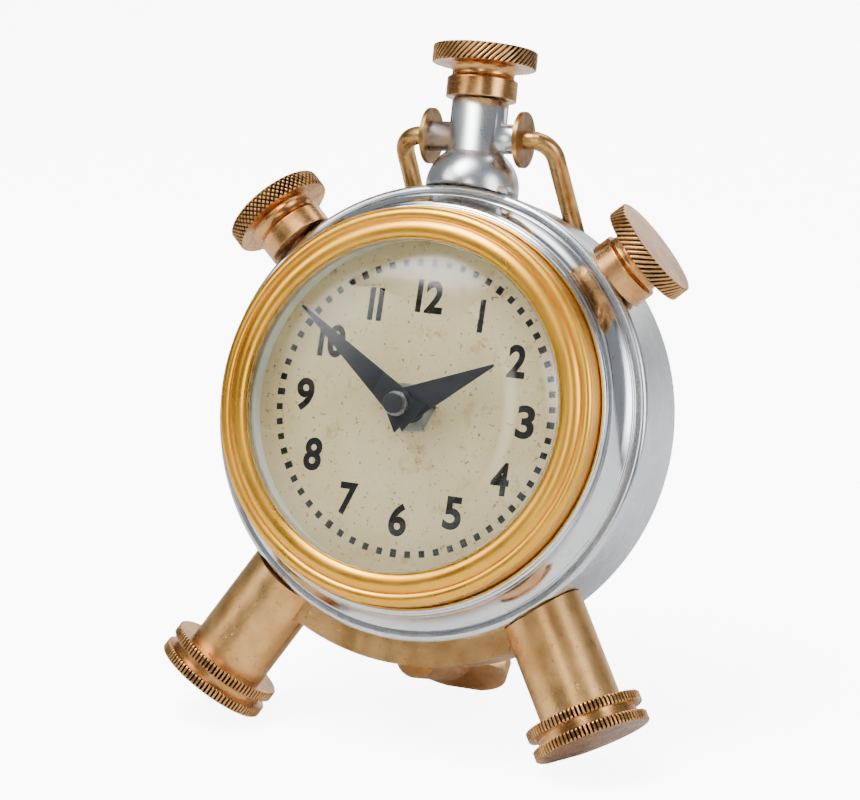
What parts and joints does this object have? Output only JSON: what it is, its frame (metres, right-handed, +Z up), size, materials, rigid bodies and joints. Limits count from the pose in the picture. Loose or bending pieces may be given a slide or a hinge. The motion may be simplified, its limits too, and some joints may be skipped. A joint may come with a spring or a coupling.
{
  "type": "desk clock",
  "caption": "Round aluminium desk clock leaning back on brass legs, with a domed glass, knurled brass knobs and a quartz movement.",
  "frame": {"origin": "on the ground under the middle of the clock's bounding box", "axes": "+X to the right as seen from the dial side, +Y to the back, +Z up; the dial leans back by 20 degrees"},
  "size_m": [0.1338, 0.0858, 0.1766],
  "materials": {
    "polished_aluminium": "polished, turned",
    "bezel_brass": "polished, light patina",
    "aged_brass": "burnished, brown patina",
    "rod_brass": "dull",
    "plated_nut": "nickel plated",
    "clear_glass": "clear, polished",
    "grey_plastic": "matt",
    "aged_paper": "matt printed paper",
    "plate_aluminium": "brushed",
    "plated_steel": "zinc plated",
    "black_plastic": "moulded",
    "black_rubber": "matt",
    "hand_black": "satin black enamel",
    "white_nylon": "moulded",
    "battery_sleeve": "printed sleeve, plain",
    "board_green": "lacquered",
    "coil_copper": "enamelled wire",
    "rotor_ferrite": "sintered"
  },
  "bodies": {
    "case": {"back_cover": "plate_aluminium", "back_screws": "plated_steel", "battery": "battery_sleeve", "battery_contacts": "plated_steel", "bezel": "bezel_brass", "case_drum": "polished_aluminium", "circuit_board": "board_green", "crossbar": "aged_brass", "crossbar_screws": "plated_steel", "dial_nut": "plated_nut", "dial_plate": "plate_aluminium", "dial_spacer": "grey_plastic", "dial_washer": "plated_nut", "front_ring": "polished_aluminium", "glass_dome": "clear_glass", "left_bail_rod": "rod_brass", "left_bail_washer": "aged_brass", "left_foot": "aged_brass", "left_foot_stud": "plated_steel", "left_leg": "aged_brass", "left_stud": "plated_steel", "motor_coil": "coil_copper", "motor_rotor": "rotor_ferrite", "motor_stator": "plated_steel", "movement_box": "black_plastic", "movement_cover": "black_plastic", "neck": "polished_aluminium", "paper_dial": "aged_paper", "rear_arm": "aged_brass", "rear_foot": "aged_brass", "right_bail_rod": "rod_brass", "right_bail_washer": "aged_brass", "right_foot": "aged_brass", "right_foot_stud": "plated_steel", "right_leg": "aged_brass", "right_stud": "plated_steel", "rubber_pad": "black_rubber", "second_wheel": "white_nylon", "stud_nuts": "plated_steel", "top_stud": "plated_steel"},
    "minute": {"minute_hand": "hand_black", "hand_nut": "plated_steel", "hand_cap": "hand_black", "minute_arbor": "plated_steel"},
    "hour": {"hour_hand": "hand_black", "hour_wheel": "white_nylon"},
    "motion": {"motion_wheel": "white_nylon"},
    "third": {"third_wheel": "white_nylon"},
    "setting": {"set_stem": "white_nylon", "set_knob": "black_plastic"},
    "knob_top": {"top_knob": "aged_brass"},
    "knob_left": {"left_knob": "aged_brass"},
    "knob_right": {"right_knob": "aged_brass"}
  },
  "joints": [
    {"name": "minute_turn", "type": "hinge", "parent": "case", "child": "minute", "pos_m": [0, -0.01534, 0.08729], "axis": [0, 0.9397, -0.342], "continuous": true},
    {"name": "hour_turn", "type": "hinge", "parent": "case", "child": "hour", "pos_m": [0, -0.01534, 0.08729], "axis": [0, 0.9397, -0.342], "continuous": true},
    {"name": "motion_turn", "type": "hinge", "parent": "case", "child": "motion", "pos_m": [-0.006, -0.01178, 0.09705], "axis": [0, 0.9397, -0.342], "continuous": true},
    {"name": "third_turn", "type": "hinge", "parent": "case", "child": "third", "pos_m": [0.00935, -0.01349, 0.09236], "axis": [0, 0.9397, -0.342], "continuous": true},
    {"name": "setting_turn", "type": "hinge", "parent": "case", "child": "setting", "pos_m": [0, -0.00823, 0.10682], "axis": [0, 0.9397, -0.342], "continuous": true},
    {"name": "left_knob_turn", "type": "hinge", "parent": "case", "child": "knob_left", "pos_m": [-0.0435, 0.01126, 0.12003], "axis": [-0.7373, 0.2311, 0.6348], "continuous": true},
    {"name": "right_knob_turn", "type": "hinge", "parent": "case", "child": "knob_right", "pos_m": [0.0435, 0.01126, 0.12003], "axis": [0.7373, 0.2311, 0.6348], "continuous": true},
    {"name": "top_knob_turn", "type": "hinge", "parent": "case", "child": "knob_top", "pos_m": [0.0015, 0.01781, 0.13801], "axis": [-0.0488, 0.3416, 0.9386], "continuous": true}
  ],
  "couplings": [
    {"joint": "hour_turn", "follows": "minute_turn", "ratio": 0.083333},
    {"joint": "motion_turn", "follows": "minute_turn", "ratio": -0.33333},
    {"joint": "third_turn", "follows": "minute_turn", "ratio": -8},
    {"joint": "setting_turn", "follows": "minute_turn", "ratio": 1}
  ]
}
